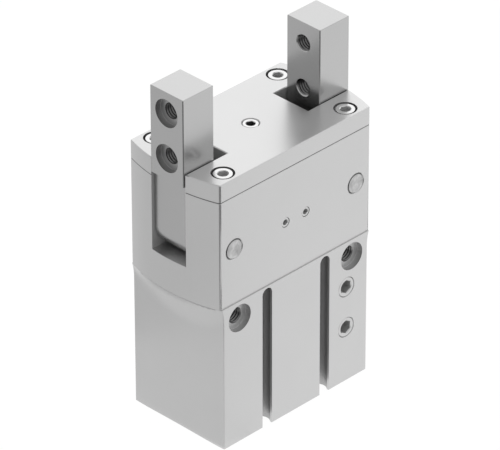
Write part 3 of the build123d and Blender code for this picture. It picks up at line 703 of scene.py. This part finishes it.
# Grub screws that close the grease ducts
bm = bmesh.new()
for x in (-grease_half.x, grease_half.x):
    stack(
        bm,
        set_screw_rings(
            grease_radius, grease_high[1] - grease_low[1], GREASE_SOCKET, GREASE_SCREW_EDGE
        ),
        towards((x, grease_low[1], grease_middle.z), (0, -1, 0)),
    )
piece = finish_piece(
    "grease_grub_screws", bm, [grease_screw_steel, hex_shade_steel], "housing"
)
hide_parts("grease_screws")

# Plugs of the front air ports
bm = bmesh.new()
for z in (-plug_half.z, plug_half.z):
    stack(
        bm,
        set_screw_rings(plug_radius, plug_high[1] - plug_low[1], PLUG_SOCKET, PLUG_EDGE),
        towards((plug_middle.x, plug_low[1], plug_middle.z + z), (0, -1, 0)),
    )
piece = finish_piece(
    "port_blanking_plugs", bm, [plug_steel, plug_hex_shade], "housing"
)
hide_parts("port_plugs")

# Pivot pins, with faced ends and rounded edges
radius = (pivot_high[0] - pivot_low[0]) / 2
length = pivot_high[1] - pivot_low[1]
end = [(0, 0), (radius - PIN_EDGE_ACROSS, 0), (radius, -PIN_EDGE_DOWN)]
other_end = [(across, -length - height) for across, height in reversed(end)]
for side, name in ((-1, "left_pivot_pin"), (1, "right_pivot_pin")):
    bm = bmesh.new()
    spun(
        bm,
        end + other_end,
        towards((side * pivot_centre.x, pivot_low[1], pivot_centre.z), (0, -1, 0)),
    )
    bm.normal_update()
    for face in bm.faces:
        # The chamfers round each end take the dark material, painted shade
        face.material_index = int(0.1 < abs(face.normal.y) < 0.9)
    piece = finish_piece(f"{name}_faced", bm, [pin_face_painted_sheen, pin_edge_shade], "housing")
    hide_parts(name)


def edge_radius(vert):
    """How far a vertex is from the Z axis."""
    return Vector((vert.co.x, vert.co.y)).length


def flare(bm, edges, radius, height):
    """Draws an open end out to a round rim at this radius and height."""
    made = bmesh.ops.extrude_edge_only(bm, edges=edges)["geom"]
    for vert in [item for item in made if isinstance(item, bmesh.types.BMVert)]:
        stretch = radius / edge_radius(vert)
        vert.co = (vert.co.x * stretch, vert.co.y * stretch, height)
    return [item for item in made if isinstance(item, bmesh.types.BMEdge)]


def thread_liner(bm, radius, pitch, length, placed):
    """An internal screw thread down from its mouth at zero, countersunk at each end."""
    root = radius - COVER_WALL
    crest = radius - THREAD_DEPTH_SHARE * pitch
    outside = radius + COVER_WALL
    start = root - crest
    turns = int(length / pitch) + 3
    profile = [
        (root, 0),
        (root, pitch / 8),
        (crest, 7 * pitch / 16),
        (crest, 11 * pitch / 16),
        (root, pitch),
    ]
    ridge = bmesh.new()
    corners = [ridge.verts.new((across, 0, up)) for across, up in profile]
    for low, high in zip(corners, corners[1:]):
        ridge.edges.new((low, high))
    bmesh.ops.spin(
        ridge,
        geom=ridge.verts[:] + ridge.edges[:],
        cent=(0, 0, 0),
        axis=(0, 0, 1),
        dvec=(0, 0, pitch / THREAD_STEPS),
        angle=2 * pi * turns,
        steps=THREAD_STEPS * turns,
    )
    bmesh.ops.remove_doubles(ridge, verts=ridge.verts, dist=pitch / 500)
    bmesh.ops.translate(ridge, verts=ridge.verts, vec=(0, 0, 2 * pitch - turns * pitch))
    for height, outward in ((-start, 1), (start - length, -1)):
        bmesh.ops.bisect_plane(
            ridge,
            geom=ridge.verts[:] + ridge.edges[:] + ridge.faces[:],
            dist=1e-8,
            plane_co=(0, 0, height),
            plane_no=(0, 0, outward),
            clear_outer=True,
        )
    open_edges = [edge for edge in ridge.edges if edge.is_boundary]
    top = [edge for edge in open_edges if edge.verts[0].co.z > -length / 2]
    bottom = [edge for edge in open_edges if edge.verts[0].co.z < -length / 2]
    rims = flare(ridge, top, outside, 0) + flare(ridge, bottom, outside, -length)
    bmesh.ops.bridge_loops(ridge, edges=rims)
    join(bm, ridge, placed)


def bore_liner(bm, radius, depth, inner, placed):
    """Smooth wall and floor of a centring bore down from the face at zero, with a hole in it."""
    wall = radius - COVER_WALL
    floor = -depth + COVER_WALL / 2
    corner = 0.08 * MM
    spun(
        bm,
        [
            (radius + COVER_WALL, -COVER_WALL),
            (wall, -COVER_WALL / 5),
            (wall, floor + corner),
            (wall - corner / 3, floor + corner / 3),
            (wall - corner, floor),
            (inner, floor),
            (inner, floor - 2 * COVER_WALL),
            (radius + COVER_WALL, floor - 2 * COVER_WALL),
        ],
        placed,
        closed=True,
    )


def centring_bore(bm, floor_place, direction):
    """The centring bore over the hole of a mount."""
    mouth = towards(floor_place + Vector(direction) * CENTRING_DEPTH, direction)
    bore_liner(bm, CENTRING_RADIUS, CENTRING_DEPTH, thread_radius, mouth)


thread_radius = mounts["front_threads"]["dims"]["hole_r_mm"] * MM
mount_half = mounts["front_threads"]["dims"]["spacing_x_mm"] * MM / 2
front_place = Vector(mounts["front_threads"]["pos_m"])
back_place = Vector(mounts["back_threads"]["pos_m"])
base_place = Vector(mounts["base_threads"]["pos_m"])
through_length = back_place.y - front_place.y

# Centring bores and threads of the mounting holes: two right through the body, two in the base
bores = bmesh.new()
threads = bmesh.new()
for side in (-1, 1):
    aside = Vector((side * mount_half, 0, 0))
    for place, direction in (
        (front_place, (0, -1, 0)),
        (back_place, (0, 1, 0)),
        (base_place, (0, 0, -1)),
    ):
        centring_bore(bores, place + aside, direction)
    through = towards(front_place + aside, (0, -1, 0))
    blind = towards(base_place + aside, (0, 0, -1))
    thread_liner(threads, thread_radius, M4_PITCH, through_length, through)
    thread_liner(threads, thread_radius, M4_PITCH, BASE_THREAD_LENGTH, blind)
finish_piece("body_centring_bores", bores, [bored_aluminium], "housing")

# Threads of the air ports in the back
for name in ("lower_air_port", "upper_air_port"):
    port = mounts[name]
    mouth = towards(Vector(port["pos_m"]), port["axis"])
    length = port["dims"]["length_mm"] * MM
    thread_liner(threads, port["dims"]["r_mm"] * MM, M5_PITCH, length, mouth)
finish_piece("body_threads", threads, [tapped_thread_dark], "housing")

# Centring bores and threads in the jaws
for side, direction in (("left", (-1, 0, 0)), ("right", (1, 0, 0))):
    jaw_mount = mounts[f"{side}_jaw_threads"]
    hole_half = jaw_mount["dims"]["spacing_y_mm"] * MM / 2
    bores = bmesh.new()
    threads = bmesh.new()
    for lift in (-hole_half, hole_half):
        place = Vector(jaw_mount["pos_m"]) + Vector((0, 0, lift))
        centring_bore(bores, place, direction)
        thread_liner(threads, thread_radius, M4_PITCH, JAW_THREAD_LENGTH, towards(place, direction))
    finish_piece(f"{side}_jaw_bores", bores, [bored_steel], f"{side}_jaw")
    finish_piece(f"{side}_jaw_threads", threads, [tapped_thread_dark], f"{side}_jaw")


# CAD nodes that keep their own mesh, all hidden inside the body
for node, material in {
    "rod_seal": rubber,
    "upper_bumper": rubber,
    "lower_bumper": rubber,
    "end_cap_seal": rubber,
    "piston": turned_cap,
    "piston_seal": rubber,
    "piston_guide_ring": plastic,
    "piston_magnet": magnet,
    "magnet_clamp": turned_cap,
    "piston_screw": centre_screw_steel,
}.items():
    for material_slot in frame["nodes"][node].material_slots:
        material_slot.material = material


# Stage: a white floor that the camera sees as white. Polished faces that look down see it grey to
# the left, and dark in a quarter of a turn towards the camera, as where a photographer stands;
# both are sectors round the near corner of the body.
def floor_material(name, colour, share, corner):
    """White paper that also glows, for this share, for the camera and in reflections."""
    material, tree, output = new_material(name)
    ray = add(tree, "ShaderNodeLightPath")
    mirrored = add(
        tree,
        "ShaderNodeMath",
        {0: ray.outputs["Is Glossy Ray"], 1: ray.outputs["Is Transmission Ray"]},
        operation="MAXIMUM",
    )
    seen = add(
        tree,
        "ShaderNodeMath",
        {0: ray.outputs["Is Camera Ray"], 1: mirrored.outputs[0]},
        operation="MAXIMUM",
    )
    part = add(tree, "ShaderNodeMath", {0: seen.outputs[0], 1: share}, operation="MULTIPLY")
    place = add(tree, "ShaderNodeTexCoord").outputs["Object"]
    about = add(tree, "ShaderNodeVectorMath", {0: place, 1: corner}, operation="SUBTRACT")
    turn = add(
        tree, "ShaderNodeTexGradient", {"Vector": about.outputs[0]}, gradient_type="RADIAL"
    )
    far = add(tree, "ShaderNodeVectorMath", {0: about.outputs[0]}, operation="LENGTH")
    near = add(
        tree,
        "ShaderNodeMapRange",
        {
            "Value": far.outputs["Value"],
            "From Min": NEAR_BRIGHT_UP_TO,
            "From Max": NEAR_DARK_FROM,
            "To Min": NEAR_BRIGHTNESS,
            "To Max": 0.0,
        },
    )
    sectors = add(tree, "ShaderNodeValToRGB", {"Fac": turn.outputs["Fac"]})
    ramp = sectors.color_ramp.elements
    ramp[0].position = FLOOR_SECTORS[0][0]
    ramp[1].position = FLOOR_SECTORS[-1][0]
    for position, level in FLOOR_SECTORS[1:-1]:
        ramp.new(position)
    for element, (position, level) in zip(ramp, FLOOR_SECTORS):
        element.color = (level, level, level, 1)
    level = add(
        tree,
        "ShaderNodeMath",
        {0: sectors.outputs["Color"], 1: near.outputs["Result"]},
        operation="MAXIMUM",
    )
    glow_colour = add(
        tree,
        "ShaderNodeMixRGB",
        {"Fac": ray.outputs["Is Camera Ray"], "Color1": level.outputs[0], "Color2": WHITE},
    )
    glow = add(
        tree, "ShaderNodeEmission", {"Color": glow_colour.outputs["Color"], "Strength": 1.02}
    )
    paint = add(tree, "ShaderNodeBsdfDiffuse", {"Color": linear(colour)})
    both = add(
        tree,
        "ShaderNodeMixShader",
        {0: part.outputs[0], 1: paint.outputs["BSDF"], 2: glow.outputs["Emission"]},
    )
    tree.links.new(both.outputs["Shader"], output.inputs["Surface"])
    return material


bm = bmesh.new()
bmesh.ops.create_grid(bm, x_segments=1, y_segments=1, size=4.0)
bmesh.ops.translate(bm, verts=bm.verts, vec=(0, 0, -0.02 * MM))
mesh = bpy.data.meshes.new("floor")
bm.to_mesh(mesh)
bm.free()
mesh.materials.append(floor_material("white_paper", "#F2F2F2", 0.97, FLOOR_CORNER))
floor = bpy.data.objects.new("floor", mesh)
bpy.context.scene.collection.objects.link(floor)

# White studio, dimmer to the left, where no lamp stands; the camera sees plain white
world = bpy.data.worlds.new("studio")
world.use_nodes = True
tree = world.node_tree
tree.nodes.clear()
direction = add(tree, "ShaderNodeTexCoord").outputs["Generated"]
aside = add(tree, "ShaderNodeVectorMath", {0: direction, 1: (1, 0.2, 0)}, operation="DOT_PRODUCT")
fade = add(
    tree,
    "ShaderNodeMapRange",
    {
        "Value": aside.outputs["Value"],
        "From Min": -STUDIO_FADE,
        "From Max": STUDIO_FADE,
        "To Min": STUDIO_LEFT,
        "To Max": STUDIO_RIGHT,
    },
)
world_ray = add(tree, "ShaderNodeLightPath")
level = add(
    tree,
    "ShaderNodeMath",
    {0: fade.outputs["Result"], 1: world_ray.outputs["Is Camera Ray"]},
    operation="MAXIMUM",
)
sky = add(tree, "ShaderNodeBackground", {"Color": WHITE, "Strength": level.outputs[0]})
add(tree, "ShaderNodeOutputWorld", {"Surface": sky.outputs["Background"]})
bpy.context.scene.world = world

# Softbox over the right-hand back corner
lamp = bpy.data.lights.new("softbox", "AREA")
lamp.shape = "SQUARE"
lamp.size = 0.8
lamp.energy = 0.72
softbox = bpy.data.objects.new("softbox", lamp)
softbox.matrix_world = towards((0.6, 0.6, 0.6), (1, 1, 0.9))
bpy.context.scene.collection.objects.link(softbox)

camera_data = bpy.data.cameras.new("camera")
camera_data.sensor_width = 36.0
camera_data.lens = CAMERA_LENS
camera = bpy.data.objects.new("camera", camera_data)
camera.matrix_world = (
    Matrix.Translation(CAMERA_PLACE)
    @ Matrix.Rotation(-radians(CAMERA_AZIMUTH), 4, "Z")
    @ Matrix.Rotation(radians(90 - CAMERA_ELEVATION), 4, "X")
    @ Matrix.Rotation(radians(CAMERA_ROLL), 4, "Z")
)
bpy.context.scene.collection.objects.link(camera)
bpy.context.scene.camera = camera
bpy.context.scene.view_settings.view_transform = "Standard"
